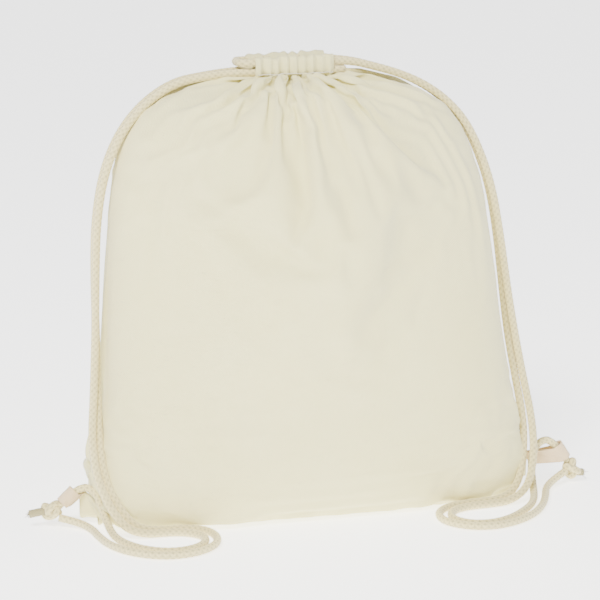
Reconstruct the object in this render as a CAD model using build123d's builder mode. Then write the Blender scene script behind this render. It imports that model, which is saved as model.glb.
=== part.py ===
from build123d import *
import math
import os

# A cotton drawstring backpack, packed full and standing on its base.
# Millimetres, +Z up, the wearer's back is towards +Y, the outward face is -Y.
# The origin is on the floor under the middle of the bag.

# ---- driving dimensions -------------------------------------------------
body_width = 306.0        # packed bag across its widest stretch, without the corner ears
body_depth = 136.0        # packed bag from outward face to wearer's side
body_height = 302.0       # floor to the foot of the gathered casing
lean = 20.0               # how far the neck stands behind the foot
cloth = 1.2               # wall of the cloth
seam_allowance = 8.0      # cloth turned inside along the side and bottom seams
ear_length = 13.0         # how far a corner ear stands out past the body
ear_height = 30.0         # height of the blunt tip of an ear

gather_width = 56.0       # casing after it is drawn together
neck_offset = -8.0        # the gather sits this far off the centre line
mouth_gap = 7.0           # slit left between the front and back casings
casing_depth = 12.4       # one bunched casing, front to back
casing_height = 15.5
casing_corner = 2.0       # rounding of the bunched casing's upper edges
neck_wall = 4.5           # most the wall is widened, measured level, where the shoulder is flat

cord_diameter = 5.5
cord_clearance = 0.35     # cord to the cloth tunnel
cord_gap = 0.9            # between the two cords in one casing, one above the other
stub_reach = 30.0         # how far the short casing cords come out past the gather

tab_clearance = 0.8       # cord to the loop of tape round it
tab_thickness = 1.0
tab_width = 13.0          # tape width, which is the length of the loop's tunnel
swing_clearance = 2.0     # between a tab and the ear it hangs from
knot_length = 17.0
knot_width = 14.0
thread = 0.7              # sewing thread, drawn a little thicker than it is
hem_thread_inset = 1.2    # hem stitching above the casing's lower edge

# ---- values worked out from them ----------------------------------------
ear_reach = body_width / 2 + ear_length
turned_in = seam_allowance - cloth
cord_pitch = cord_diameter + cord_gap
cord_line = body_height + casing_height / 2
tunnel_depth = cord_diameter + 2 * cord_clearance
tunnel_height = cord_pitch + cord_diameter + 2 * cord_clearance
casing_offset = mouth_gap / 2 + casing_depth / 2
low_cord = cord_line - cord_pitch / 2
high_cord = cord_line + cord_pitch / 2
casing_foot = cord_line - casing_height / 2
neck_half_width = gather_width / 2 + 11
neck_half_depth = casing_offset + casing_depth / 2 - 1.7


def lean_at(z):
    """Y of the seam plane at height z, zero a little under half way up."""
    return lean * (z / body_height - 0.42)


# Packed outline, floor to neck: height, half width, half depth, squareness of the plan.
# These rows are shares of the body. The neck is added from the casing's own size.
OUTLINE = [
    (0.000, 0.930, 0.460, 3.4),
    (0.026, 0.965, 0.660, 3.3),
    (0.075, 0.990, 0.820, 3.2),
    (0.140, 1.000, 0.920, 3.1),
    (0.200, 0.985, 0.960, 2.9),
    (0.290, 0.945, 0.985, 2.8),
    (0.420, 0.915, 1.000, 2.6),
    (0.580, 0.895, 0.985, 2.4),
    (0.750, 0.860, 0.900, 2.3),
    (0.820, 0.825, 0.820, 2.2),
    (0.877, 0.780, 0.730, 2.2),
    (0.920, 0.715, 0.620, 2.1),
    (0.955, 0.620, 0.510, 2.1),
    (0.985, 0.470, 0.360, 2.0),
]
rows = []
for height_share, width_share, depth_share, squareness in OUTLINE:
    rows.append((
        height_share * body_height,
        width_share * body_width / 2,
        depth_share * body_depth / 2,
        squareness,
        neck_offset * height_share ** 3,
    ))
rows.append((body_height, neck_half_width, neck_half_depth, 2.0, neck_offset))


def plan_curve(half_width, half_depth, squareness, count=12):
    """Half of a rounded-square plan, |x/a|^n + |y/b|^n = 1, from +x round to -x."""
    points = []
    for step in range(count + 1):
        turn = math.pi * step / count
        c = math.cos(turn)
        s = math.sin(turn)
        x = math.copysign(abs(c) ** (2 / squareness), c) * half_width
        y = max(s, 0.0) ** (2 / squareness) * half_depth
        points.append((x, y))
    return points


def level_walls():
    """Each level with the wall it needs, measured level, to be one cloth thick square on."""
    levels = []
    for index, (z, half_width, half_depth, squareness, off) in enumerate(rows):
        below = rows[max(index - 1, 0)]
        above = rows[min(index + 1, len(rows) - 1)]
        rise = above[0] - below[0]
        spread = above[1] - below[1]
        wall = min(cloth * math.hypot(rise, spread) / rise, neck_wall)
        levels.append((z, half_width, half_depth, squareness, off, wall))
    return levels


walls = level_walls()


def half_shell(side):
    """One ply of cloth from seam to seam, with its seam allowances turned inside."""
    with BuildPart() as shell:
        for z, half_width, half_depth, squareness, off, wall in walls:
            outer = plan_curve(half_width, half_depth, squareness)
            inner = plan_curve(half_width - wall, half_depth - wall - cloth, squareness)
            outer = [(-side * x, side * y) for x, y in outer]
            inner = [(-side * x, side * (y + cloth)) for x, y in reversed(inner)]
            flange = -side * (half_width - wall - turned_in)
            with BuildSketch(Plane(origin=(off, lean_at(z), z))):
                with BuildLine():
                    Spline(*outer)
                    Polyline(outer[-1], (-flange, 0), (-flange, side * cloth), inner[0])
                    Spline(*inner)
                    Polyline(inner[-1], (flange, side * cloth), (flange, 0), outer[0])
                make_face()
        loft()
    return shell.part


# The plane of the side and bottom seams. It leans back with the neck.
tilt = math.degrees(math.atan(lean / body_height))
seam_plane = Plane(origin=(0, lean_at(0), 0), x_dir=(1, 0, 0), z_dir=(0, -1, 0)).rotated((-tilt, 0, 0))
casing_y = lean_at(cord_line)
base_half_width = rows[0][1]
base_half_depth = rows[0][2]
ear_root = body_width / 2 - 9
bottom_seam_half = base_half_width - 30


def cloth_panel(side):
    """A panel: the packed wall, its share of the base, its ear plies and its casing."""
    with BuildPart() as panel:
        add(half_shell(side))
        # base, from the bottom seam to the foot of the wall
        with BuildSketch(Plane(origin=(0, lean_at(0), 0))):
            with BuildLine():
                edge = plan_curve(base_half_width - cloth / 3, base_half_depth - cloth / 3, rows[0][3])
                edge = [(x, side * y) for x, y in edge]
                Spline(*edge)
                Line(edge[-1], edge[0])
            make_face()
        extrude(amount=cloth)
        # bottom seam allowance, standing up inside the bag
        with BuildSketch(Plane(origin=(0, lean_at(0) + side * cloth / 2, 0))):
            Rectangle(2 * bottom_seam_half, cloth)
        extrude(amount=seam_allowance)
        # corner ears, one ply of each
        with BuildSketch(seam_plane):
            for ear_side in (-1, 1):
                with BuildLine():
                    Polyline(
                        (ear_side * ear_root, 2.0),
                        (ear_side * (ear_reach - 7), 2.0),
                        (ear_side * ear_reach, 8.0),
                        (ear_side * ear_reach, ear_height),
                        (ear_side * ear_root, ear_height + 10),
                        close=True,
                    )
                make_face()
        extrude(amount=-side * cloth)
        # casing, folded over and drawn together, with its tunnel for two cords
        profile = Plane(
            origin=(neck_offset - gather_width / 2, casing_y + side * casing_offset, cord_line),
            x_dir=(0, 1, 0),
            z_dir=(1, 0, 0),
        )
        with BuildSketch(profile):
            RectangleRounded(casing_depth, casing_height, casing_corner)
            with Locations((0, -casing_height / 4)):
                Rectangle(casing_depth, casing_height / 2)
        extrude(amount=gather_width)
        with BuildSketch(profile):
            RectangleRounded(tunnel_depth, tunnel_height, tunnel_depth / 2 - 0.05)
        extrude(amount=gather_width, mode=Mode.SUBTRACT)
    return panel.part


front_panel = cloth_panel(-1)
back_panel = cloth_panel(1)
for label, panel in (("front", front_panel), ("back", back_panel)):
    print(label, "panel valid", panel.is_valid, "solids", len(panel.solids()), "volume", round(panel.volume))


# ---- sewing thread ------------------------------------------------------
# Each seam is one line of thread on each face of its turned-in cloth.
stitch_line = seam_allowance - 2.5


def side_thread(edge):
    """The stitches down one side seam, on the inside faces of both allowances."""
    with BuildPart() as line:
        for side in (-1, 1):
            with BuildPart(mode=Mode.PRIVATE) as row:
                for z, half_width, half_depth, squareness, off, wall in walls[2:-3]:
                    with BuildSketch(Plane(origin=(off, lean_at(z), z))):
                        with Locations((edge * (half_width - stitch_line), side * (cloth + 0.6 * thread))):
                            Rectangle(thread, thread)
                loft()
            add(row.part)
    return line.part


left_side_thread = side_thread(-1)
right_side_thread = side_thread(1)

# The bottom seam's stitches, on both faces of its standing allowance.
with BuildPart() as bottom_line:
    with BuildSketch(Plane.XY.offset(stitch_line)):
        with Locations(
            (0, lean_at(0) - cloth - thread / 2),
            (0, lean_at(0) + cloth + thread / 2),
        ):
            Rectangle(2 * bottom_seam_half - 6, thread)
    extrude(amount=thread)
bottom_thread = bottom_line.part


def hem_thread(side):
    """The row of stitches that closes a casing, along its lower edge on the outside."""
    height = casing_foot + casing_corner + hem_thread_inset
    face_y = casing_y + side * (casing_offset + casing_depth / 2)
    with BuildPart() as row:
        with BuildSketch(Plane(origin=(neck_offset, face_y, height), x_dir=(1, 0, 0), z_dir=(0, side, 0))):
            Rectangle(gather_width - 2, thread)
        extrude(amount=thread)
    return row.part


front_hem_thread = hem_thread(-1)
back_hem_thread = hem_thread(1)


# ---- cords --------------------------------------------------------------
def tangent_radii(points):
    """An arc at each corner, as large as its two runs allow."""
    radii = []
    for before, corner, after in zip(points, points[1:], points[2:]):
        run_in = Vector(corner) - Vector(before)
        run_out = Vector(after) - Vector(corner)
        turn = run_in.get_angle(run_out)
        shorter = min(run_in.length, run_out.length)
        radii.append(0.45 * shorter / math.tan(math.radians(turn / 2)))
    return radii


def cord_tube(name, points, diameter=cord_diameter):
    """Round cord along straight runs joined by tangent arcs."""
    radii = tangent_radii(points)
    with BuildPart() as tube:
        with BuildLine() as path:
            FilletPolyline(*points, radius=radii)
        with BuildSketch(Plane(origin=path.wire() @ 0, z_dir=path.wire() % 0)):
            Circle(diameter / 2)
        sweep()
    length = path.wire().length
    expected = math.pi * diameter ** 2 / 4 * length
    print(f"{name}: length {length:.1f}, smallest radius {min(radii):.1f}, "
          f"volume ratio {tube.part.volume / expected:.4f}")
    print("   radii", " ".join(f"{radius:.0f}" for radius in radii))
    return tube.part


def casing_run(name, side, height, drop):
    """One cord inside both casings: in at its own side, round at the far side, and back."""
    mouth = neck_offset + side * gather_width / 2
    far = neck_offset - side * (gather_width / 2 + casing_offset)
    front = casing_y - casing_offset
    back = casing_y + casing_offset
    stub_end = mouth + side * stub_reach
    strand_gap = (cord_diameter + 1.1) / 2
    points = [
        (stub_end, casing_y - strand_gap, height - drop),
        (mouth + side * 13, front + 4.6, height),
        (mouth, front, height),
        (far, front, height),
        (far, back, height),
        (mouth, back, height),
        (mouth + side * 13, back - 4.6, height),
        (stub_end, casing_y + strand_gap, height - drop),
    ]
    radii = tangent_radii(points)
    for corner in (2, 3):
        radii[corner] = casing_offset - 0.01
    for corner in (1, 4):
        radii[corner] = min(radii[corner], 2 * cord_diameter)
    with BuildPart() as tube:
        with BuildLine() as path:
            FilletPolyline(*points, radius=radii)
        with BuildSketch(Plane(origin=path.wire() @ 0, z_dir=path.wire() % 0)):
            Circle(cord_diameter / 2)
        sweep()
    length = path.wire().length
    expected = math.pi * cord_diameter ** 2 / 4 * length
    print(f"{name}: length {length:.1f}, volume ratio {tube.part.volume / expected:.4f}")
    print("   radii", " ".join(f"{radius:.0f}" for radius in radii))
    return tube.part


left_casing_cord = casing_run("left_casing_cord", -1, low_cord, 2.3)
right_casing_cord = casing_run("right_casing_cord", 1, high_cord, 5.3)

# Free cords. Each starts just outside the gather, goes over the shoulder and down the side,
# lies in a loop on the floor and comes back to its corner ear.
LEFT_TAB_CORD = [
    (-70, 8.8, 304.2), (-89, 8.6, 301), (-107, 8, 291), (-122, 6, 277.5), (-134, 4, 260),
    (-143, 2, 237), (-148.5, 0, 206), (-150.5, -3, 168), (-152.5, -8, 128), (-155.5, -14, 92),
    (-160, -25, 61), (-159, -37, 38), (-152.5, -46.5, 20), (-143.5, -54.5, 7.5), (-131, -57.5, 3.4),
    (-116, -57, 3.2), (-103, -60, 3.2), (-93.5, -71, 3.2), (-96, -87, 3.2), (-109, -98.5, 3.2),
    (-126, -99.5, 3.2), (-141, -88, 3.2), (-150, -69, 3.2), (-152.5, -49, 3.6), (-153, -31, 11),
    (-156, -17, 25), (-166, -10.5, 28), (-181, -10.5, 14),
]
LEFT_KNOT_CORD = [
    (-70, 15.4, 304.2), (-89, 15.2, 301), (-107, 14.6, 291), (-122, 12.6, 277.5),
    (-134, 10.6, 260), (-143, 8.6, 237), (-148.5, 6.4, 206), (-150, 3.4, 168), (-150.5, -2, 128),
    (-152, -9.5, 92), (-154, -22, 61), (-153, -33.5, 38), (-146, -42.5, 20), (-137, -49.5, 7),
    (-122, -51.5, 3.3), (-105, -50.5, 3.2), (-90.5, -56, 3.2), (-84.5, -72, 3.2), (-90, -93, 3.2),
    (-108, -107, 3.2), (-130, -108, 3.2), (-149, -94, 3.2), (-159, -74, 3.2), (-162, -53, 3.2),
    (-162.5, -34, 3.2), (-169, -20, 4.5), (-181, -14, 7),
]
RIGHT_TAB_CORD = [
    (54, 8.8, 306.9), (72, 8.6, 301.5), (89, 8, 294), (105, 7, 283), (119, 5.5, 268),
    (130, 4, 247), (139.5, 2, 219), (145.5, 0, 184), (150, -3, 148), (154.5, -8, 114),
    (159, -15, 82), (162.5, -25, 53), (160, -36, 28), (151, -47.5, 10), (135, -55.5, 3.4),
    (118, -57.5, 3.2), (102, -58, 3.2), (89, -64, 3.2), (82, -75, 3.2), (82, -88, 3.2),
    (90, -98, 3.2), (104, -100.5, 3.2), (119, -94, 3.2), (133, -82, 3.2), (146, -67, 3.2),
    (155, -50, 3.4), (160.5, -33, 8), (164, -20, 20), (171, -12.5, 32), (184.2, -10.5, 34.3),
    (196.2, -10.5, 16.1),
]
RIGHT_KNOT_CORD = [
    (54, 15.4, 306.9), (72, 15.2, 301.5), (89, 14.6, 294), (105, 13.6, 283), (119, 12.1, 268),
    (130, 10.6, 247), (139.5, 8.6, 219), (145, 6, 184), (148, 2, 148), (150.5, -3.5, 114),
    (154, -12, 82), (156.5, -23, 53), (153.5, -32, 28), (145, -41.5, 9), (131, -48.5, 3.6),
    (115, -50.5, 3.2), (99, -51, 3.2), (84, -57, 3.2), (74, -71, 3.2), (74, -89, 3.2),
    (86, -103.5, 3.2), (104, -108, 3.2), (123, -101, 3.2), (140, -88, 3.2), (154, -69, 3.2),
    (164, -49, 3.2), (171, -32, 3.2), (181, -20, 5), (194, -13, 9),
]
left_tab_strand = cord_tube("left_tab_strand", LEFT_TAB_CORD)
left_knot_strand = cord_tube("left_knot_strand", LEFT_KNOT_CORD)
right_tab_strand = cord_tube("right_tab_strand", RIGHT_TAB_CORD)
right_knot_strand = cord_tube("right_knot_strand", RIGHT_KNOT_CORD)


def knot_solid(start, direction):
    """Outer shape of the overhand knot that joins a cord's two ends."""
    with BuildPart() as knot:
        with BuildSketch(Plane(origin=start, x_dir=direction, z_dir=Vector(*direction).cross(Vector(0, 0, 1)))):
            with Locations((knot_length / 2, 0)):
                Ellipse(knot_length / 2, knot_width / 2)
            with Locations((knot_length / 2, -knot_width)):
                Rectangle(2 * knot_length, 2 * knot_width, mode=Mode.SUBTRACT)
        revolve(axis=Axis(start, direction))
    return knot.part


left_knot = knot_solid((-177, -11, 12.6), (-1, 0.08, -0.08))
right_knot = knot_solid((195, -11, 17.4), (0.55, 0.05, -0.83))
left_tails = cord_tube("left_tails", [(-191, -10, 11.5), (-196, -10.5, 11), (-201, -9.5, 10)])
right_tails = cord_tube("right_tails", [(201.5, -10.5, 8), (205, -11.3, 6.8), (208.5, -11, 6.6)])


# ---- tabs ---------------------------------------------------------------
def tab(side, centre, direction, root_low, root_high):
    """A loop of tape round the cord, with its two ends laid together towards the ear."""
    hole = cord_diameter / 2 + tab_clearance
    along = Vector(*direction).normalized()
    middle = Vector(*centre)
    start = middle - along * (tab_width / 2)
    end = middle + along * (tab_width / 2)
    root_x = side * (ear_reach + swing_clearance)
    ends_y = centre[1] + hole
    with BuildPart() as loop:
        with BuildSketch(Plane(origin=start, x_dir=(0, 1, 0), z_dir=along)):
            Circle(hole + tab_thickness)
        extrude(amount=tab_width)
        with BuildSketch(Plane(origin=(0, ends_y, 0), x_dir=(1, 0, 0), z_dir=(0, -1, 0))):
            with BuildLine():
                Polyline(
                    (root_x, root_low),
                    (root_x, root_high),
                    (start.X, start.Z),
                    (end.X, end.Z),
                    close=True,
                )
            make_face()
        extrude(amount=tab_thickness, both=True)
        with BuildSketch(Plane(origin=start - along * tab_width, x_dir=(0, 1, 0), z_dir=along)):
            Circle(hole)
        extrude(amount=3 * tab_width, mode=Mode.SUBTRACT)
    return loop.part


left_tab = tab(-1, (-174, -10.5, 20.5), (-0.73, 0, -0.68), 13, 26)
right_tab = tab(1, (191, -10.5, 24), (0.55, 0, -0.83), 13, 27)


# ---- write the nodes ----------------------------------------------------
nodes = {
    "front_panel": front_panel,
    "back_panel": back_panel,
    "left_side_thread": left_side_thread,
    "right_side_thread": right_side_thread,
    "bottom_thread": bottom_thread,
    "front_hem_thread": front_hem_thread,
    "back_hem_thread": back_hem_thread,
    "left_casing_cord": left_casing_cord,
    "right_casing_cord": right_casing_cord,
    "left_tab_strand": left_tab_strand,
    "left_knot_strand": left_knot_strand,
    "right_tab_strand": right_tab_strand,
    "right_knot_strand": right_knot_strand,
    "left_knot": left_knot,
    "right_knot": right_knot,
    "left_tails": left_tails,
    "right_tails": right_tails,
    "left_tab": left_tab,
    "right_tab": right_tab,
}
os.makedirs("parts", exist_ok=True)
for node_name, node_part in nodes.items():
    node_part.label = node_name
    export_step(node_part, f"parts/{node_name}.step")
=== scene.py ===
# %% [markdown]
# # A cotton drawstring backpack, packed full and drawn shut
# The bag is two flat cotton panels. They are sewn together, filled, and gathered on a cord,
# all by one cloth simulation. The cords are braided tubes that follow the CAD's own routes.
# Everything is in metres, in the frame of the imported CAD.

# %%
import math
import time
import bpy
import numpy as np
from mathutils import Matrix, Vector


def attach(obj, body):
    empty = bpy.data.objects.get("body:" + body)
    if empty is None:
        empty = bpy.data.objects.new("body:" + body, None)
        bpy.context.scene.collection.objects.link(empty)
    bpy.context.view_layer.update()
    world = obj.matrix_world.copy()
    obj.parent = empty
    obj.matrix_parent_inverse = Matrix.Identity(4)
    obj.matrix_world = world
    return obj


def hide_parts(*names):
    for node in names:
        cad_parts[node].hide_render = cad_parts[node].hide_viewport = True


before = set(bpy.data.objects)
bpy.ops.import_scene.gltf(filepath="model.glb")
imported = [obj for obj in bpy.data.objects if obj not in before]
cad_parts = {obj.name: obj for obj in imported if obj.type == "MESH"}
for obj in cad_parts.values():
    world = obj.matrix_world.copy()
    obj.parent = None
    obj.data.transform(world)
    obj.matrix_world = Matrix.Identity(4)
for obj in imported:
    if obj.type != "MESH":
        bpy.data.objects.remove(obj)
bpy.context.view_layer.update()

# %% [markdown]
# ## Driving sizes
# The flat panel is the cut size of one side of the bag. The rest repeat the CAD's dimensions.

# %%
FLAT_WIDTH = 0.360
FLAT_HEIGHT = 0.430
CASING_START = 0.402      # how far up the flat panel the casing begins
SIDE_SEAM_END = 0.392     # how far up the side seams are sewn
EAR_EDGE = 0.026          # length of side seam held out at each bottom corner
CELL = 0.0060             # cloth mesh spacing
CORD = 0.0055             # cord diameter
GATHER_HALF = 0.028
GATHER_X = -0.008
GATHER_Y = 0.0125
GATHER_FOOT = 0.3010
GATHER_TOP = 0.3165
LEAN = 0.020
BODY = (0.306, 0.136, 0.302)
RNG = np.random.default_rng(3)


def lean_at(z):
    return LEAN * (z / BODY[2] - 0.42)


def mesh_object(name, vertices, faces, smooth=True):
    """A new mesh object in the scene."""
    mesh = bpy.data.meshes.new(name)
    mesh.from_pydata([tuple(float(c) for c in v) for v in vertices], [], faces)
    mesh.update()
    if smooth:
        mesh.polygons.foreach_set("use_smooth", [True] * len(mesh.polygons))
    obj = bpy.data.objects.new(name, mesh)
    bpy.context.scene.collection.objects.link(obj)
    return obj


print("panel", FLAT_WIDTH, "by", FLAT_HEIGHT, "m")

# %% [markdown]
# ## Shared surface effects
# Three node groups hold what several cloths have in common. Each gives only masks and values,
# and each material keeps its own shader.

# %%
def new_group(name, inputs, outputs):
    tree = bpy.data.node_groups.new(name, "ShaderNodeTree")
    for socket, kind, default in inputs:
        made = tree.interface.new_socket(socket, in_out="INPUT", socket_type=kind)
        if default is not None:
            made.default_value = default
    for socket, kind in outputs:
        tree.interface.new_socket(socket, in_out="OUTPUT", socket_type=kind)
    return tree, tree.nodes.new("NodeGroupInput"), tree.nodes.new("NodeGroupOutput")


def math_node(tree, operation, first, second=None):
    node = tree.nodes.new("ShaderNodeMath")
    node.operation = operation
    for index, value in enumerate((first, second)):
        if value is None:
            continue
        if isinstance(value, (int, float)):
            node.inputs[index].default_value = value
        else:
            tree.links.new(value, node.inputs[index])
    return node.outputs[0]


def noise_node(tree, vector, scale, detail=3.0, roughness=0.55):
    node = tree.nodes.new("ShaderNodeTexNoise")
    node.inputs["Detail"].default_value = detail
    node.inputs["Roughness"].default_value = roughness
    tree.links.new(vector, node.inputs["Vector"])
    if isinstance(scale, (int, float)):
        node.inputs["Scale"].default_value = scale
    else:
        tree.links.new(scale, node.inputs["Scale"])
    return node.outputs[0]


# Plain weave: over-and-under threads whose thickness wanders, with slubs here and there.
weave, gin, gout = new_group(
    "plain_weave",
    [("Vector", "NodeSocketVector", None), ("Threads", "NodeSocketFloat", 1200.0)],
    [("Height", "NodeSocketFloat"), ("Slub", "NodeSocketFloat")],
)
wander = noise_node(weave, gin.outputs["Vector"], 160.0, 2.0)
split = weave.nodes.new("ShaderNodeSeparateXYZ")
weave.links.new(gin.outputs["Vector"], split.inputs[0])
phase_x = math_node(weave, "MULTIPLY", split.outputs[0], gin.outputs["Threads"])
phase_y = math_node(weave, "MULTIPLY", split.outputs[1], gin.outputs["Threads"])
bent = math_node(weave, "MULTIPLY", wander, 5.0)
sine_x = math_node(weave, "SINE", math_node(weave, "ADD", phase_x, bent))
sine_y = math_node(weave, "SINE", math_node(weave, "ADD", phase_y, bent))
checks = math_node(weave, "MULTIPLY", sine_x, sine_y)
height_of_thread = math_node(weave, "ADD", math_node(weave, "MULTIPLY", checks, 0.5), 0.5)
weave.links.new(height_of_thread, gout.inputs["Height"])
stretch = weave.nodes.new("ShaderNodeMapping")
stretch.inputs["Scale"].default_value = (1.0, 14.0, 1.0)
weave.links.new(gin.outputs["Vector"], stretch.inputs["Vector"])
slub = noise_node(weave, stretch.outputs[0], 55.0, 4.0, 0.7)
slub_mask = math_node(weave, "GREATER_THAN", slub, 0.64)
weave.links.new(slub_mask, gout.inputs["Slub"])

# Mottling and the little brown seed flecks of unbleached cotton.
mottle, gin, gout = new_group(
    "cotton_mottle",
    [("Vector", "NodeSocketVector", None), ("Size", "NodeSocketFloat", 22.0)],
    [("Tone", "NodeSocketFloat"), ("Fleck", "NodeSocketFloat"), ("Soil", "NodeSocketFloat")],
)
weave_tone = noise_node(mottle, gin.outputs["Vector"], gin.outputs["Size"], 5.0, 0.6)
mottle.links.new(weave_tone, gout.inputs["Tone"])
grain = noise_node(mottle, gin.outputs["Vector"], 900.0, 1.0)
mottle.links.new(math_node(mottle, "GREATER_THAN", grain, 0.765), gout.inputs["Fleck"])
blot = noise_node(mottle, gin.outputs["Vector"], 9.0, 2.0)
yellowed = math_node(mottle, "MAXIMUM", math_node(mottle, "SUBTRACT", blot, 0.55), 0.0)
mottle.links.new(math_node(mottle, "SMOOTH_MIN", yellowed, 0.3), gout.inputs["Soil"])

# Painted rim sheen: a pale colour mixed in towards grazing view angles, a painted highlight where short
# fibres would catch the light.
rim_sheen, gin, gout = new_group("painted_rim_sheen", [("Amount", "NodeSocketFloat", 0.5)], [("Rim", "NodeSocketFloat")])
facing = rim_sheen.nodes.new("ShaderNodeLayerWeight")
facing.inputs["Blend"].default_value = 0.35
grazing = math_node(rim_sheen, "POWER", facing.outputs["Facing"], 2.5)
rim = math_node(rim_sheen, "MULTIPLY", grazing, gin.outputs["Amount"])
rim_sheen.links.new(rim, gout.inputs["Rim"])
print("node groups", [group.name for group in bpy.data.node_groups])

# %% [markdown]
# ## Materials
# Every constant is set on the shader's own sockets. The weave and mottling drive colour, roughness and bump.

# %%
def mix_colour(tree, factor, first, second, blend="MIX"):
    node = tree.nodes.new("ShaderNodeMix")
    node.data_type = "RGBA"
    node.blend_type = blend
    if isinstance(factor, (int, float)):
        node.inputs[0].default_value = factor
    else:
        tree.links.new(factor, node.inputs[0])
    for index, value in ((6, first), (7, second)):
        if isinstance(value, tuple):
            node.inputs[index].default_value = value
        else:
            tree.links.new(value, node.inputs[index])
    return node.outputs[2]


SLUB_TINT = (0.72, 0.66, 0.50, 1)
FLECK_TINT = (0.33, 0.21, 0.11, 1)
SOIL_TINT = (0.78, 0.70, 0.44, 1)
RIM_SHEEN_TINT = (0.93, 0.91, 0.83, 1)


def cotton_material(name, light, dark, threads, fleck, bump, roughness, coordinate="UV", size=22.0):
    """A woven or braided cotton surface."""
    material = bpy.data.materials.new(name)
    material.use_nodes = True
    tree = material.node_tree
    shader = tree.nodes["Principled BSDF"]
    shader.inputs["Specular IOR Level"].default_value = 0.18
    shader.inputs["Sheen Weight"].default_value = 0.25
    shader.inputs["Sheen Roughness"].default_value = 0.6
    where = tree.nodes.new("ShaderNodeTexCoord").outputs[coordinate]
    cloth = tree.nodes.new("ShaderNodeGroup")
    cloth.node_tree = weave
    cloth.inputs["Threads"].default_value = threads
    tree.links.new(where, cloth.inputs["Vector"])
    spots = tree.nodes.new("ShaderNodeGroup")
    spots.node_tree = mottle
    spots.inputs["Size"].default_value = size
    tree.links.new(where, spots.inputs["Vector"])
    edge = tree.nodes.new("ShaderNodeGroup")
    edge.node_tree = rim_sheen
    edge.inputs["Amount"].default_value = 0.35
    colour = mix_colour(tree, spots.outputs["Tone"], dark, light)
    # Painted shade: the colour is multiplied darker where the weave's threads dip, as shade between threads.
    shade = math_node(tree, "ADD", math_node(tree, "MULTIPLY", cloth.outputs["Height"], 0.10), 0.92)
    grey = tree.nodes.new("ShaderNodeCombineColor")
    for index in range(3):
        tree.links.new(shade, grey.inputs[index])
    colour = mix_colour(tree, 1.0, colour, grey.outputs[0], "MULTIPLY")
    for mask, amount, tint in (
        (cloth.outputs["Slub"], 0.22, SLUB_TINT),
        (spots.outputs["Fleck"], fleck, FLECK_TINT),
        (spots.outputs["Soil"], 0.9, SOIL_TINT),
    ):
        colour = mix_colour(tree, math_node(tree, "MULTIPLY", mask, amount), colour, tint)
    # Painted highlight: the pale rim sheen is mixed into the colour at grazing angles.
    colour = mix_colour(tree, edge.outputs["Rim"], colour, RIM_SHEEN_TINT)
    tree.links.new(colour, shader.inputs["Base Color"])
    varied = math_node(tree, "ADD", math_node(tree, "MULTIPLY", spots.outputs["Tone"], 0.12), roughness)
    tree.links.new(varied, shader.inputs["Roughness"])
    relief = tree.nodes.new("ShaderNodeBump")
    relief.inputs["Strength"].default_value = bump
    relief.inputs["Distance"].default_value = 0.0004
    slubs = math_node(tree, "MULTIPLY", cloth.outputs["Slub"], 0.6)
    tree.links.new(math_node(tree, "ADD", cloth.outputs["Height"], slubs), relief.inputs["Height"])
    tree.links.new(relief.outputs[0], shader.inputs["Normal"])
    return material


cotton = cotton_material(
    "calico", light=(0.92, 0.865, 0.46, 1), dark=(0.85, 0.78, 0.36, 1),
    threads=4400.0, fleck=0.55, bump=0.55, roughness=0.84,
)
braid = cotton_material(
    "braided_cord", light=(0.97, 0.86, 0.46, 1), dark=(0.90, 0.76, 0.34, 1),
    threads=5200.0, fleck=0.45, bump=0.35, roughness=0.82, size=60.0,
)
# The tape's darker, browner colour is painted shade, taken from the shaded inner face of the tab.
tape = cotton_material(
    "folded_tape", light=(0.86, 0.68, 0.42, 1), dark=(0.76, 0.56, 0.32, 1),
    threads=5200.0, fleck=0.30, bump=0.50, roughness=0.86, size=60.0,
)
thread = cotton_material(
    "sewing_thread", light=(0.86, 0.82, 0.70, 1), dark=(0.78, 0.73, 0.60, 1),
    threads=9000.0, fleck=0.10, bump=0.25, roughness=0.75, coordinate="Object",
)

# Painted shade: the braid's colour is darkened in the gaps between its carriers and kept light on their
# crowns.
braid_tree = braid.node_tree
carrier = braid_tree.nodes.new("ShaderNodeAttribute")
carrier.attribute_name = "carrier"
braid_shader = braid_tree.nodes["Principled BSDF"]
gap_shade = math_node(braid_tree, "ADD", math_node(braid_tree, "MULTIPLY", carrier.outputs["Fac"], 0.62), 0.40)
gap_shade_grey = braid_tree.nodes.new("ShaderNodeCombineColor")
for index in range(3):
    braid_tree.links.new(gap_shade, gap_shade_grey.inputs[index])
plain = braid_shader.inputs["Base Color"].links[0].from_socket
shaded = mix_colour(braid_tree, 1.0, plain, gap_shade_grey.outputs[0], "MULTIPLY")
braid_tree.links.new(shaded, braid_shader.inputs["Base Color"])
print("materials", [material.name for material in (cotton, braid, tape, thread)])

# %% [markdown]
# ## Floor, light and camera
# A pale floor, one big soft key light from high on the left, and a wide fill from the right.

# %%
floor_material = bpy.data.materials.new("pale_floor")
floor_material.use_nodes = True
floor_shader = floor_material.node_tree.nodes["Principled BSDF"]
floor_shader.inputs["Base Color"].default_value = (0.90, 0.90, 0.89, 1)
floor_shader.inputs["Roughness"].default_value = 0.9
floor_shader.inputs["Emission Color"].default_value = (1, 1, 1, 1)
floor_shader.inputs["Emission Strength"].default_value = 2.4
floor = mesh_object("floor", [(-6, -6, 0), (6, -6, 0), (6, 6, 0), (-6, 6, 0)], [(0, 1, 2, 3)], smooth=False)
floor.data.materials.append(floor_material)


def area_light(name, place, target, size, power, colour):
    lamp = bpy.data.lights.new(name, "AREA")
    lamp.size = size
    lamp.energy = power
    lamp.color = colour
    obj = bpy.data.objects.new(name, lamp)
    bpy.context.scene.collection.objects.link(obj)
    obj.location = place
    obj.rotation_euler = (Vector(target) - Vector(place)).to_track_quat("-Z", "Y").to_euler()
    return obj


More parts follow.
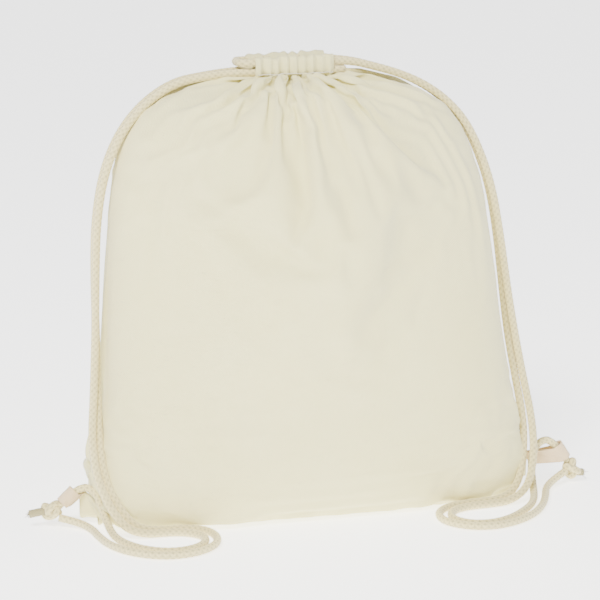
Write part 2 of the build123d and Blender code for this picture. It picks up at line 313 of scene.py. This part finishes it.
area_light("key", (-0.9, -1.3, 1.7), (0, 0, 0.14), 0.6, 88.0, (1.0, 0.985, 0.96))
area_light("fill", (1.5, -1.0, 0.8), (0, 0, 0.14), 1.4, 12.0, (0.97, 0.985, 1.0))
world = bpy.data.worlds.new("studio")
world.use_nodes = True
world.node_tree.nodes["Background"].inputs[0].default_value = (1, 1, 1, 1)
world.node_tree.nodes["Background"].inputs[1].default_value = 0.75
bpy.context.scene.world = world

azimuth, elevation = math.radians(-17), math.radians(12)
camera = bpy.data.objects.new("camera", bpy.data.cameras.new("camera"))
bpy.context.scene.collection.objects.link(camera)
camera.data.sensor_width = 36
camera.data.lens = 154.3
back = Vector((
    math.sin(azimuth) * math.cos(elevation),
    -math.cos(azimuth) * math.cos(elevation),
    math.sin(elevation),
))
LOOKED_AT = (-0.004, 0, 0.146)
CAMERA_DISTANCE = 1.8
camera.location = Vector(LOOKED_AT) + back * CAMERA_DISTANCE
camera.rotation_euler = (-back).to_track_quat("-Z", "Y").to_euler()
bpy.context.scene.camera = camera
print("camera", [round(c, 3) for c in camera.location])

# %% [markdown]
# ## The cloth: two flat panels, sewn, filled and gathered
# The panels start flat and are sewn down both sides and along the bottom. Inside them a hidden form grows
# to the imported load. The casing rows are drawn together into uneven pleats, turned over at the rim
# and down inside. The two bottom corners are held out as flat ears.

# %%
columns = int(round(FLAT_WIDTH / CELL)) + 1
across = np.linspace(-FLAT_WIDTH / 2, FLAT_WIDTH / 2, columns)
up = np.concatenate([np.linspace(0, CASING_START, int(round(CASING_START / CELL)) + 1),
                     CASING_START + np.array([0.0045, 0.009, 0.0135, 0.016, 0.0185, 0.023, 0.028])])
levels = len(up)
numbers, flat_uv, side_of, quads = {}, [], [], {-1: [], 1: []}


def vertex(side, i, j):
    """The vertex number of one crossing of the mesh. Sewn edges share theirs."""
    sewn = j == 0 or (i in (0, columns - 1) and up[j] < SIDE_SEAM_END)
    key = (0 if sewn else side, i, j)
    if key not in numbers:
        numbers[key] = len(flat_uv)
        flat_uv.append((across[i], up[j]))
        side_of.append(key[0])
    return numbers[key]


for side in (-1, 1):
    for j in range(levels - 1):
        for i in range(columns - 1):
            corners = ((i, j), (i + 1, j), (i + 1, j + 1), (i, j + 1))
            quad = [vertex(side, column, level) for column, level in corners]
            quads[side].append(quad if side < 0 else quad[::-1])
flat_uv, side_of = np.array(flat_uv), np.array(side_of, float)
u, v = flat_uv[:, 0], flat_uv[:, 1]
t = np.clip(2 * u / FLAT_WIDTH, -1, 1)
puff = 0.001 + 0.012 * np.cos(t * math.pi / 2) * np.sqrt(np.sin(np.clip(v / FLAT_HEIGHT, 0, 1) * math.pi))
start = np.stack([u, side_of * puff, v], 1)

# Uneven pleats: their edges are jittered, and each has its own depth.
PLEATS = 9
edges = np.linspace(-1, 1, 2 * PLEATS + 1)
edges[1:-1] += RNG.uniform(-0.3, 0.3, 2 * PLEATS - 1) * (edges[1] - edges[0])
shallow = RNG.uniform(0.0, 0.35, len(edges))
deep = RNG.uniform(0.65, 1.0, len(edges))
depths = np.where(np.arange(len(edges)) % 2 == 0, shallow, deep)
fold = np.interp(t, edges, depths)
fold = 0.5 - 0.5 * np.cos(fold * math.pi)
travel = np.clip(v - CASING_START, 0, None)
rise = GATHER_TOP - GATHER_FOOT
turned = np.clip((travel - rise + 0.0005) / 0.0075, 0, 1)
height = GATHER_FOOT + np.minimum(travel, rise) + 0.001 * np.sin(turned * math.pi)
height -= np.clip(travel - rise - 0.003, 0, None)
uneven = 0.0016 * np.interp(t, edges, RNG.uniform(-1, 1, len(edges)))
# Under the cords the pleats are deep. Round the cords their valleys stay outside the cord.
lift = np.clip(travel / 0.0040, 0, 1)
lift = lift * lift * (3 - 2 * lift)
valley = 0.0048 + 0.0086 * lift
ridge = 0.0166 + 0.0004 * lift
outer_ply = valley + (ridge - valley) * fold
inner_ply = 0.0055 - 0.0020 * fold
goal = np.stack([
    GATHER_X + GATHER_HALF * t,
    GATHER_Y + side_of * (outer_ply + (inner_ply - outer_ply) * turned),
    height + uneven * np.clip(travel / rise, 0, 1),
], 1)
pinned = v >= CASING_START - 1e-6
for end, ear in ((-1, (-0.1655, -0.0075, 0.012)), (1, (0.1655, -0.0075, 0.014))):
    corner = (np.abs(u - end * FLAT_WIDTH / 2) < 1e-6) & (v < EAR_EDGE)
    goal[corner] = np.array(ear) + np.outer(v[corner] - 0.010, (0, 0, 0.9))
    goal[corner, 2] = np.maximum(goal[corner, 2], 0.0022)
    pinned |= corner
print("cloth vertices", len(flat_uv), "pinned", int(pinned.sum()))

# %% [markdown]
# ## The hidden load
# It follows the CAD's packed outline, a little fuller at the foot and closed at the neck.

# %%
OUTLINE = [
    (0.000, 0.950, 0.500, 3.6), (0.026, 0.990, 0.680, 3.5), (0.075, 1.010, 0.820, 3.4),
    (0.140, 1.010, 0.920, 3.2), (0.200, 0.985, 0.960, 2.9), (0.290, 0.945, 0.985, 2.8),
    (0.420, 0.915, 1.000, 2.6), (0.580, 0.895, 0.985, 2.4), (0.750, 0.860, 0.900, 2.3),
    (0.820, 0.825, 0.820, 2.2), (0.877, 0.780, 0.730, 2.2), (0.920, 0.715, 0.620, 2.1),
    (0.955, 0.600, 0.490, 2.1), (0.975, 0.420, 0.330, 2.0), (0.985, 0.200, 0.150, 2.0),
]
ROUND = 64
SIDE_INSET = 0.0015
FACE_INSET = 0.003
load_vertices, load_faces = [], []
for z_share, x_share, y_share, power in OUTLINE:
    z = z_share * BODY[2]
    for k in range(ROUND):
        turn = 2 * math.pi * k / ROUND
        c, s = math.cos(turn), math.sin(turn)
        x = math.copysign(abs(c) ** (2 / power), c) * (x_share * BODY[0] / 2 - SIDE_INSET)
        y = math.copysign(abs(s) ** (2 / power), s) * (y_share * BODY[1] / 2 - FACE_INSET)
        x += GATHER_X * z_share ** 3
        y += lean_at(z)
        load_vertices.append((x, y, z))
for ring in range(len(OUTLINE) - 1):
    for k in range(ROUND):
        n = (k + 1) % ROUND
        low, high = ring * ROUND, (ring + 1) * ROUND
        load_faces.append((low + k, low + n, high + n, high + k))
load_faces.append(tuple(reversed(range(ROUND))))
load_faces.append(tuple(range((len(OUTLINE) - 1) * ROUND, len(OUTLINE) * ROUND)))
print("load rings", len(OUTLINE))

# %% [markdown]
# ## The simulation
# Forty frames fill and gather the bag, and twenty let it settle. It always runs the same way.

# %%
FILL_FRAMES = 40
SETTLED_FRAME = 60
LAST_FRAME = 65
GROUND_Z = -0.0008


def simulate():
    """The cloth's settled vertex positions."""
    began = time.time()
    all_faces = quads[-1] + quads[1]
    bag = mesh_object("bag_sim", start, all_faces)
    bag.shape_key_add(name="flat")
    drawn = bag.shape_key_add(name="drawn")
    where = start.copy()
    where[pinned] = goal[pinned]
    drawn.data.foreach_set("co", where.astype(np.float32).ravel())
    drawn.value = 0
    drawn.keyframe_insert("value", frame=1)
    drawn.value = 1
    drawn.keyframe_insert("value", frame=FILL_FRAMES)
    group = bag.vertex_groups.new(name="pin")
    group.add(np.flatnonzero(pinned).tolist(), 1.0, "REPLACE")
    load = mesh_object("load_sim", load_vertices, load_faces)
    load.modifiers.new("collide", "COLLISION")
    load.collision.thickness_outer = 0.002
    load.collision.cloth_friction = 1
    load.scale = (0.9, 0.02, 0.9)
    load.keyframe_insert("scale", frame=1)
    load.scale = (0.995, 0.95, 1)
    load.keyframe_insert("scale", frame=FILL_FRAMES)
    for holder in (bag.data.shape_keys, load):
        for curve in holder.animation_data.action.fcurves:
            for key in curve.keyframe_points:
                key.interpolation = "LINEAR"
    square = ((-1, -1), (1, -1), (1, 1), (-1, 1))
    ground = mesh_object("ground_sim", [(x, y, GROUND_Z) for x, y in square], [(0, 1, 2, 3)])
    ground.modifiers.new("collide", "COLLISION")
    ground.collision.thickness_outer = 0.002
    ground.collision.cloth_friction = 5
    modifier = bag.modifiers.new("cloth", "CLOTH")
    cloth = modifier.settings
    cloth.quality = 6
    cloth.mass = 0.1
    cloth.tension_stiffness = cloth.compression_stiffness = 15
    cloth.shear_stiffness = 5
    cloth.bending_stiffness = 0.5
    cloth.tension_damping = cloth.compression_damping = cloth.shear_damping = 5
    cloth.bending_damping = 0.5
    cloth.air_damping = 3
    cloth.vertex_group_mass = "pin"
    cloth.pin_stiffness = 1
    cloth.use_pressure = True
    cloth.uniform_pressure_force = 1
    cloth.effector_weights.gravity = 0.3
    touch = modifier.collision_settings
    touch.use_collision = True
    touch.distance_min = 0.002
    touch.collision_quality = 3
    touch.use_self_collision = True
    touch.self_distance_min = 0.0018
    touch.self_friction = 2
    scene = bpy.context.scene
    for holder in (scene, modifier.point_cache):
        holder.frame_start = 1
        holder.frame_end = LAST_FRAME
    for number in range(1, SETTLED_FRAME + 1):
        scene.frame_set(number)
    settled = bag.evaluated_get(bpy.context.evaluated_depsgraph_get()).to_mesh()
    found = np.zeros(len(settled.vertices) * 3)
    settled.vertices.foreach_get("co", found)
    for obj in (bag, load, ground):
        bpy.data.objects.remove(obj)
    scene.frame_set(1)
    print("simulated in", round(time.time() - began, 1), "s")
    return found.reshape(-1, 3)


settled = simulate()
settled[:, 2] = np.maximum(settled[:, 2], 0.0006)
print("bag spans", settled.min(0).round(4), settled.max(0).round(4))

# %% [markdown]
# ## Two panels from the settled cloth
# Each panel is its own piece. Its texture follows the flat cut, so the weave runs with the cloth.

# %%
def cloth_panel(name, side):
    used = sorted({n for quad in quads[side] for n in quad})
    renumber = {n: k for k, n in enumerate(used)}
    panel = mesh_object(name, settled[used], [[renumber[n] for n in quad] for quad in quads[side]])
    layer = panel.data.uv_layers.new(name="flat")
    where = np.array([flat_uv[used[loop.vertex_index]] for loop in panel.data.loops])
    layer.data.foreach_set("uv", where.ravel())
    smooth = panel.modifiers.new("smooth", "SUBSURF")
    smooth.levels = smooth.render_levels = 2
    ply = panel.modifiers.new("ply", "SOLIDIFY")
    ply.thickness = 0.0005
    ply.offset = -1
    panel.data.materials.append(cotton)
    bpy.context.view_layer.objects.active = panel
    for modifier in list(panel.modifiers):
        bpy.ops.object.modifier_apply(modifier=modifier.name)
    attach(panel, "bag")
    return panel


front_cloth = cloth_panel("front_cloth", -1)
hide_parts("front_panel")
back_cloth = cloth_panel("back_cloth", 1)
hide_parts("back_panel")
print("panel vertices", len(front_cloth.data.vertices), len(back_cloth.data.vertices))

# %% [markdown]
# ## Stitches that close the casing
# They run along the casing's lower edge, on the outside of each panel, in and out of every pleat.

# %%
def tube(points, radius, sides=6):
    """Vertices and faces of a plain round tube along points."""
    points = np.array(points, float)
    along = np.gradient(points, axis=0)
    along /= np.linalg.norm(along, axis=1)[:, None] + 1e-12
    across_ = np.cross(along, (0.13, 0.21, 0.97))
    across_ /= np.linalg.norm(across_, axis=1)[:, None] + 1e-12
    over = np.cross(along, across_)
    turns = np.linspace(0, 2 * math.pi, sides, endpoint=False)
    circle = np.cos(turns)[None, :, None] * across_[:, None] + np.sin(turns)[None, :, None] * over[:, None]
    rings = points[:, None] + radius * circle
    faces = []
    for r in range(len(points) - 1):
        for k in range(sides):
            n = (k + 1) % sides
            faces.append((r * sides + k, r * sides + n, (r + 1) * sides + n, (r + 1) * sides + k))
    faces.append(tuple(reversed(range(sides))))
    faces.append(tuple(range((len(points) - 1) * sides, len(points) * sides)))
    return rings.reshape(-1, 3), faces


STITCH_RADIUS = 0.00032
# One stitch: share of its length, and how far out of the cloth it stands there.
STITCH = ((.05, -.9), (.2, .1), (.5, .5), (.8, .1), (.95, -.9))


def hem_stitches(name, side, node):
    row = int(np.argmin(np.abs(up - (CASING_START + 0.0045))))
    line = np.array([settled[vertex(side, i, row)] for i in range(columns)])
    push = np.array([0, side * 0.0008, 0])
    vertices, faces = [], []
    for i in range(1, columns - 2):
        a, b = line[i] + push, line[i + 1] + push
        ends = [a + (b - a) * share + push * out for share, out in STITCH]
        made, quads_ = tube(ends, STITCH_RADIUS)
        faces += [tuple(n + len(vertices) for n in face) for face in quads_]
        vertices += list(made)
    stitches = mesh_object(name, vertices, faces)
    stitches.data.materials.append(thread)
    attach(stitches, "bag")
    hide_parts(node)
    return stitches


front_stitches = hem_stitches("front_stitches", -1, "front_hem_thread")
back_stitches = hem_stitches("back_stitches", 1, "back_hem_thread")
for name in ("left_side_thread", "right_side_thread", "bottom_thread"):
    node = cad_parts[name]
    node.data.materials.clear()
    node.data.materials.append(thread)
print("stitches", len(front_stitches.data.vertices) // 30, "and", len(back_stitches.data.vertices) // 30)

# %% [markdown]
# ## Braided cord
# A cord's line is a curve that has the CAD's route points as its control points. Points are read back
# from the curve and a tube is made round them, with eight carriers that pass over and under each other.

# %%
# Route points, the same as the CAD's. The first two carry each strand on into its casing.
LEFT_TAB_CORD = [
    (-.03, .0024, .3065), (-.049, .007, .3064), (-.07, .0088, .3042), (-.089, .0086, .301),
    (-.107, .008, .291), (-.122, .006, .2775), (-.134, .004, .26), (-.143, .002, .237),
    (-.1485, 0, .206), (-.1505, -.003, .168), (-.1525, -.008, .128), (-.1555, -.014, .092),
    (-.16, -.025, .061), (-.159, -.037, .038), (-.1525, -.0465, .02), (-.1435, -.0545, .0075),
    (-.131, -.0575, .0034), (-.116, -.057, .0032), (-.103, -.06, .0032), (-.0935, -.071, .0032),
    (-.096, -.087, .0032), (-.109, -.0985, .0032), (-.126, -.0995, .0032), (-.141, -.088, .0032),
    (-.15, -.069, .0032), (-.1525, -.049, .0036), (-.153, -.031, .011), (-.156, -.017, .025),
    (-.166, -.0105, .028), (-.181, -.0105, .014),
]
LEFT_KNOT_CORD = [
    (-.03, .0222, .3065), (-.049, .0172, .3064), (-.07, .0154, .3042), (-.089, .0152, .301),
    (-.107, .0146, .291), (-.122, .0126, .2775), (-.134, .0106, .26), (-.143, .0086, .237),
    (-.1485, .0064, .206), (-.15, .0034, .168), (-.1505, -.002, .128), (-.152, -.0095, .092),
    (-.154, -.022, .061), (-.153, -.0335, .038), (-.146, -.0425, .02), (-.137, -.0495, .007),
    (-.122, -.0515, .0033), (-.105, -.0505, .0032), (-.0905, -.056, .0032), (-.0845, -.072, .0032),
    (-.09, -.093, .0032), (-.108, -.107, .0032), (-.13, -.108, .0032), (-.149, -.094, .0032),
    (-.159, -.074, .0032), (-.162, -.053, .0032), (-.1625, -.034, .0032), (-.169, -.02, .0045),
    (-.181, -.014, .007),
]
RIGHT_TAB_CORD = [
    (.014, .0024, .313), (.033, .007, .3124), (.054, .0088, .3069), (.072, .0086, .3015),
    (.089, .008, .294), (.105, .007, .283), (.119, .0055, .268), (.13, .004, .247), (.1395, .002, .219),
    (.1455, 0, .184), (.15, -.003, .148), (.1545, -.008, .114), (.159, -.015, .082),
    (.1625, -.025, .053), (.16, -.036, .028), (.151, -.0475, .01), (.135, -.0555, .0034),
    (.118, -.0575, .0032), (.102, -.058, .0032), (.089, -.064, .0032), (.082, -.075, .0032),
    (.082, -.088, .0032), (.09, -.098, .0032), (.104, -.1005, .0032), (.119, -.094, .0032),
    (.133, -.082, .0032), (.146, -.067, .0032), (.155, -.05, .0034), (.1605, -.033, .008),
    (.164, -.02, .02), (.171, -.0125, .032), (.1842, -.0105, .0343), (.1962, -.0105, .0161),
]
RIGHT_KNOT_CORD = [
    (.014, .0222, .313), (.033, .0172, .3124), (.054, .0154, .3069), (.072, .0152, .3015),
    (.089, .0146, .294), (.105, .0136, .283), (.119, .0121, .268), (.13, .0106, .247),
    (.1395, .0086, .219), (.145, .006, .184), (.148, .002, .148), (.1505, -.0035, .114),
    (.154, -.012, .082), (.1565, -.023, .053), (.1535, -.032, .028), (.145, -.0415, .009),
    (.131, -.0485, .0036), (.115, -.0505, .0032), (.099, -.051, .0032), (.084, -.057, .0032),
    (.074, -.071, .0032), (.074, -.089, .0032), (.086, -.1035, .0032), (.104, -.108, .0032),
    (.123, -.101, .0032), (.14, -.088, .0032), (.154, -.069, .0032), (.164, -.049, .0032),
    (.171, -.032, .0032), (.181, -.02, .005), (.194, -.013, .009),
]
LEFT_CASING = [(-.032, .0024, .3065), (.016, .0024, .3065), (.0285, .0024, .3065), (.0295, .0122, .3065),
               (.0285, .0222, .3065), (.016, .0222, .3065), (-.032, .0222, .3065)]
RIGHT_CASING = [(.016, .0024, .313), (-.032, .0024, .313), (-.0445, .0024, .313), (-.0455, .0122, .313),
                (-.0445, .0222, .313), (-.032, .0222, .313), (.016, .0222, .313)]
LEFT_TAILS = [(-.191, -.01, .0115), (-.196, -.0105, .011), (-.201, -.0095, .01)]
RIGHT_TAILS = [(.2015, -.0105, .008), (.205, -.0113, .0068), (.2085, -.011, .0066)]


def read_line(name, route, step=0.0007):
    """Even points along a smooth curve that has the route as its control points."""
    curve = bpy.data.curves.new(name + "_line", "CURVE")
    curve.dimensions = "3D"
    curve.resolution_u = 24
    spline = curve.splines.new("NURBS")
    spline.points.add(len(route) - 1)
    for point, place in zip(spline.points, route):
        point.co = (*place, 1)
    spline.order_u = 3
    spline.use_endpoint_u = True
    holder = bpy.data.objects.new(name + "_line", curve)
    bpy.context.scene.collection.objects.link(holder)
    bpy.context.view_layer.update()
    mesh = bpy.data.meshes.new_from_object(holder.evaluated_get(bpy.context.evaluated_depsgraph_get()))
    line = np.array([tuple(p.co) for p in mesh.vertices])
    bpy.data.objects.remove(holder)
    run = np.concatenate([[0], np.cumsum(np.linalg.norm(np.diff(line, axis=0), axis=1))])
    even = np.linspace(0, run[-1], max(int(run[-1] / step), 4))
    return np.stack([np.interp(even, run, line[:, k]) for k in range(3)], 1), run[-1]


def braided(name, line, diameter=CORD, pitch=0.0088, sides=20):
    """A round tube with a braid's relief along line, with its texture laid along it."""
    along = np.gradient(line, axis=0)
    along /= np.linalg.norm(along, axis=1)[:, None]
    side_way = np.zeros_like(line)
    first = np.cross(along[0], (0, 0, 1))
    if np.linalg.norm(first) < 0.1:
        first = np.cross(along[0], (0, 1, 0))
    side_way[0] = first / np.linalg.norm(first)
    for k in range(1, len(line)):
        turned_way = side_way[k - 1] - along[k] * np.dot(side_way[k - 1], along[k])
        side_way[k] = turned_way / np.linalg.norm(turned_way)
    other = np.cross(along, side_way)
    run = np.concatenate([[0], np.cumsum(np.linalg.norm(np.diff(line, axis=0), axis=1))])
    turns = np.linspace(0, 2 * math.pi, sides, endpoint=False)
    a = 2 * turns[None] + 2 * math.pi * run[:, None] / pitch
    b = 2 * turns[None] - 2 * math.pi * run[:, None] / pitch
    over = np.sin(2 * turns)[None] * np.sin(4 * math.pi * run / pitch)[:, None]
    relief = np.maximum(np.abs(np.cos(a)) * (0.75 + 0.25 * over), np.abs(np.cos(b)) * (0.75 - 0.25 * over))
    radius = diameter / 2 * (0.83 + 0.22 * relief)
    rings = line[:, None] + radius[:, :, None] * (np.cos(turns)[None, :, None] * side_way[:, None]
                                                   + np.sin(turns)[None, :, None] * other[:, None])
    faces = []
    for r in range(len(line) - 1):
        for k in range(sides):
            n = (k + 1) % sides
            faces.append((r * sides + k, r * sides + n, (r + 1) * sides + n, (r + 1) * sides + k))
    faces.append(tuple(reversed(range(sides))))
    faces.append(tuple(range((len(line) - 1) * sides, len(line) * sides)))
    obj = mesh_object(name, rings.reshape(-1, 3), faces)
    layer = obj.data.uv_layers.new(name="round")
    place = np.array([(loop.vertex_index % sides / sides * diameter * 3, run[loop.vertex_index // sides])
                      for loop in obj.data.loops])
    layer.data.foreach_set("uv", place.ravel())
    # The relief is kept as an attribute so that the braid material can paint shade into the gaps with it.
    gaps = obj.data.attributes.new("carrier", "FLOAT", "POINT")
    gaps.data.foreach_set("value", relief.ravel().astype(np.float32))
    obj.data.materials.append(braid)
    return obj


# %% [markdown]
# ## Knots, frayed tails and tape tabs
# Each knot is a short cord wound over itself. The tails end in loose fibres. Each tab is a folded tape
# round its cord.

# %%
def knot(name, start_at, direction, node, body):
    way = Vector(direction).normalized()
    side_way = way.cross(Vector((0, 0, 1))).normalized()
    upward = side_way.cross(way)
    middle = Vector(start_at) + way * 0.0085
    line = []
    for k in range(181):
        s = 2 * math.pi * k / 180
        wide = 0.0031 + 0.0013 * math.cos(3 * s)
        line.append(middle + way * (0.0046 * math.sin(3 * s) * 0.9 + 0.0012 * math.sin(s))
                    + side_way * wide * math.cos(2 * s) + upward * wide * math.sin(2 * s))
    piece = braided(name, np.array([tuple(p) for p in line]), diameter=0.0050, sides=18)
    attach(piece, body)
    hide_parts(node)
    return piece


def tails(name, route, node, body):
    line, _ = read_line(name, route)
    piece = braided(name, line)
    vertices = [vtx.co[:] for vtx in piece.data.vertices]
    faces = [tuple(p.vertices) for p in piece.data.polygons]
    end = line[-1]
    way = line[-1] - line[-2]
    way /= np.linalg.norm(way)
    for _ in range(34):
        spread = RNG.normal(0, 0.0011, 3)
        root = end - way * 0.001 + spread * 0.8
        tip = root + way * RNG.uniform(0.0008, 0.0022) + spread * 0.4
        tip[2] = max(tip[2], 0.0006)
        root[2] = max(root[2], 0.0006)
        made, more = tube([root, (root + tip) / 2 + RNG.normal(0, 0.0002, 3), tip], 0.00016, 4)
        faces += [tuple(n + len(vertices) for n in face) for face in more]
        vertices += list(made)
    bpy.data.objects.remove(piece)
    piece = mesh_object(name, vertices, faces)
    piece.data.uv_layers.new(name="round")
    piece.data.materials.append(braid)
    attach(piece, body)
    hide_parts(node)
    return piece


def tape_tab(name, centre, direction, root, node, body):
    """Tape laid double at its root and opened round the cord."""
    way = Vector(direction).normalized()
    front = Vector((0, -1, 0))
    inward = way.cross(front).normalized()
    if (Vector(root) - Vector(centre)).dot(inward) < 0:
        inward = -inward
    reach = (Vector(root) - Vector(centre)).dot(inward)
    radius = 0.0041
    path = [(reach, 0.0042), (reach * 0.75, 0.0043), (0.0055, 0.0042)]
    path += [(radius * math.cos(a), radius * math.sin(a)) for a in np.linspace(1.2, 2 * math.pi - 1.2, 18)]
    path += [(0.0055, -0.0042), (reach * 0.75, -0.0043), (reach, -0.0042)]
    fine = []
    for (x0, y0), (x1, y1) in zip(path, path[1:]):
        fine += [(x0 + (x1 - x0) * f, y0 + (y1 - y0) * f) for f in (0, 0.5)]
    fine.append(path[-1])
    vertices, faces, places = [], [], []
    rows = 14
    for j in range(rows + 1):
        share = j / rows - 0.5
        for k, (x, y) in enumerate(fine):
            open_up = np.clip((x - 0.004) / max(reach - 0.004, 1e-6), 0, 1)
            squash = 1 - 0.72 * open_up
            wave = 0.00025 * math.sin(9 * share + 0.4 * k)
            place = Vector(centre) + way * share * 0.0125 * (1 - 0.10 * open_up)
            place = place + inward * x + front * (y * squash + wave)
            place = place + (Vector(root) - (Vector(centre) + inward * reach)) * float(open_up)
            place.z = max(place.z, 0.0008)
            vertices.append(place)
            places.append((share * 0.0125, k * 0.0006))
    width = len(fine)
    for j in range(rows):
        for k in range(width - 1):
            faces.append((j * width + k, j * width + k + 1, (j + 1) * width + k + 1, (j + 1) * width + k))
    piece = mesh_object(name, vertices, faces)
    layer = piece.data.uv_layers.new(name="flat")
    layer.data.foreach_set("uv", np.array([places[loop.vertex_index] for loop in piece.data.loops]).ravel())
    ply = piece.modifiers.new("ply", "SOLIDIFY")
    ply.thickness = 0.0007
    ply.offset = 0
    bpy.context.view_layer.objects.active = piece
    bpy.ops.object.modifier_apply(modifier="ply")
    piece.data.materials.append(tape)
    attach(piece, body)
    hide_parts(node)
    return piece


left_knot = knot(
    "left_knot_tied", (-0.177, -0.011, 0.0126), (-1, 0.08, -0.08), "left_knot", "left_strap")
right_knot = knot(
    "right_knot_tied", (0.195, -0.011, 0.0174), (0.55, 0.05, -0.83), "right_knot", "right_strap")
left_tails = tails("left_tails_frayed", LEFT_TAILS, "left_tails", "left_strap")
right_tails = tails("right_tails_frayed", RIGHT_TAILS, "right_tails", "right_strap")
left_tab = tape_tab(
    "left_tape_tab", centre=(-0.174, -0.0105, 0.0205), direction=(-0.73, 0, -0.68),
    root=(-0.1655, -0.0080, 0.0190), node="left_tab", body="left_strap")
right_tab = tape_tab(
    "right_tape_tab", centre=(0.191, -0.0105, 0.024), direction=(0.55, 0, -0.83),
    root=(0.1655, -0.0080, 0.0200), node="right_tab", body="right_strap")
print("knots, tails and tabs made")

# %% [markdown]
# ## The four free strands and the two runs inside the casing
# Each strand is a free cord whose measured length is printed beside its given length. It leaves the gathered
# mouth and ends at its knot.

# %%
def strand(name, route, node, body, length):
    line, measured = read_line(name, route)
    piece = braided(name, line)
    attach(piece, body)
    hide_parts(node)
    print(name, "measures", round(measured, 4), "declared", length)
    return piece


strand("left_tab_cord", LEFT_TAB_CORD, "left_tab_strand", "left_strap", 0.622)
strand("left_knot_cord", LEFT_KNOT_CORD, "left_knot_strand", "left_strap", 0.632)
strand("right_tab_cord", RIGHT_TAB_CORD, "right_tab_strand", "right_strap", 0.666)
strand("right_knot_cord", RIGHT_KNOT_CORD, "right_knot_strand", "right_strap", 0.660)

for name, route, node in (("left_casing_run", LEFT_CASING, "left_casing_cord"),
                          ("right_casing_run", RIGHT_CASING, "right_casing_cord")):
    line, measured = read_line(name, route)
    run_piece = braided(name, line)
    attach(run_piece, "bag")
    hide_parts(node)
    print(name, "measures", round(measured, 4))
